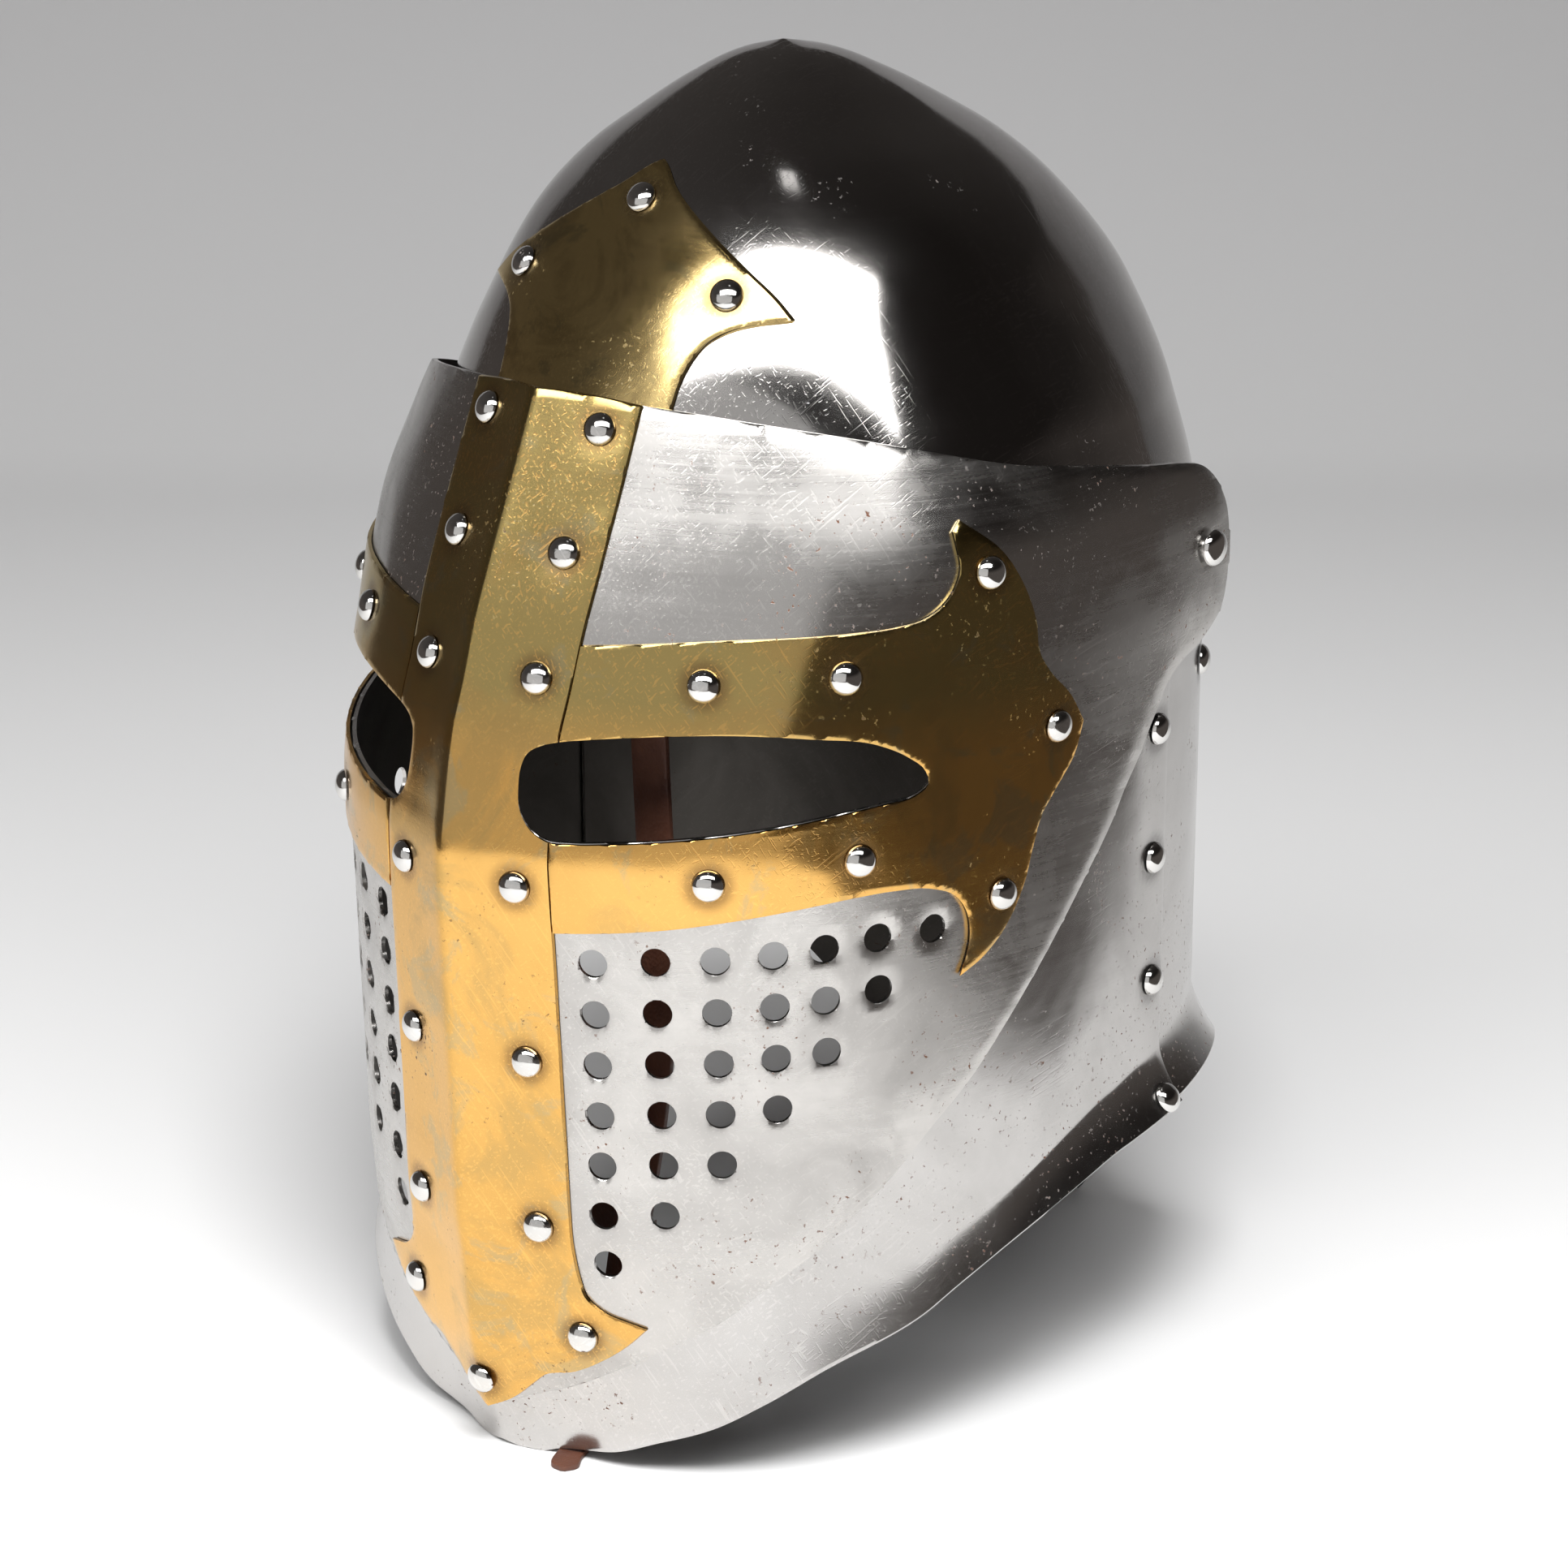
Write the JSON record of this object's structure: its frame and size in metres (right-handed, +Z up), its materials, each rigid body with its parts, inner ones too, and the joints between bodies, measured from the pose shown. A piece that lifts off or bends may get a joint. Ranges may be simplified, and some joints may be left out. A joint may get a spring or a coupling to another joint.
{
  "type": "sugarloaf great helm",
  "caption": "Pointed steel great helm with a pivoting keeled visor, eye slits, breathing holes, a riveted brass cross and a leather chin strap",
  "frame": {"origin": "on the floor under the middle of the helm's bounding box, standing on its chin and the back of its neck plate with the visor shut", "axes": "+Z up towards the point of the skull, -Y the way the face looks, +X the wearer's left"},
  "size_m": [0.2434, 0.286, 0.3971],
  "materials": {
    "steel": "polished",
    "brass": "polished",
    "rivet_steel": "polished",
    "leather": "worn"
  },
  "bodies": {
    "helm": {"skull": "steel", "back_plate": "steel", "bevor": "steel", "cross_finial_skull": "brass", "pivot_left": "rivet_steel", "pivot_right": "rivet_steel", "chin_strap_tongue": "leather", "chin_strap_buckle_side": "leather", "rivet_skull_top": "rivet_steel", "rivet_skull_left": "rivet_steel", "rivet_back_left": "rivet_steel", "rivet_seam_left_1": "rivet_steel", "rivet_seam_left_2": "rivet_steel", "rivet_seam_left_3": "rivet_steel", "rivet_seam_left_4": "rivet_steel", "rivet_skull_right": "rivet_steel", "rivet_back_right": "rivet_steel", "rivet_seam_right_1": "rivet_steel", "rivet_seam_right_2": "rivet_steel", "rivet_seam_right_3": "rivet_steel", "rivet_seam_right_4": "rivet_steel"},
    "visor": {"visor": "steel", "cross_upright": "brass", "cross_arm_left": "brass", "cross_arm_right": "brass", "rivet_keel": "rivet_steel", "rivet_upright_left_1": "rivet_steel", "rivet_upright_left_2": "rivet_steel", "rivet_upright_left_3": "rivet_steel", "rivet_upright_left_4": "rivet_steel", "rivet_upright_left_5": "rivet_steel", "rivet_upright_left_6": "rivet_steel", "rivet_upright_left_7": "rivet_steel", "rivet_arm_left_1": "rivet_steel", "rivet_arm_left_2": "rivet_steel", "rivet_arm_left_3": "rivet_steel", "rivet_arm_left_4": "rivet_steel", "rivet_arm_left_5": "rivet_steel", "rivet_arm_left_6": "rivet_steel", "rivet_arm_left_7": "rivet_steel", "rivet_upright_right_1": "rivet_steel", "rivet_upright_right_2": "rivet_steel", "rivet_upright_right_3": "rivet_steel", "rivet_upright_right_4": "rivet_steel", "rivet_upright_right_5": "rivet_steel", "rivet_upright_right_6": "rivet_steel", "rivet_upright_right_7": "rivet_steel", "rivet_arm_right_1": "rivet_steel", "rivet_arm_right_2": "rivet_steel", "rivet_arm_right_3": "rivet_steel", "rivet_arm_right_4": "rivet_steel", "rivet_arm_right_5": "rivet_steel", "rivet_arm_right_6": "rivet_steel", "rivet_arm_right_7": "rivet_steel"}
  },
  "joints": [
    {"name": "visor_hinge", "type": "hinge", "parent": "helm", "child": "visor", "pos_m": [0, 0.06125, 0.2547], "axis": [-1, 0, 0], "range_deg": [0, 70]}
  ]
}
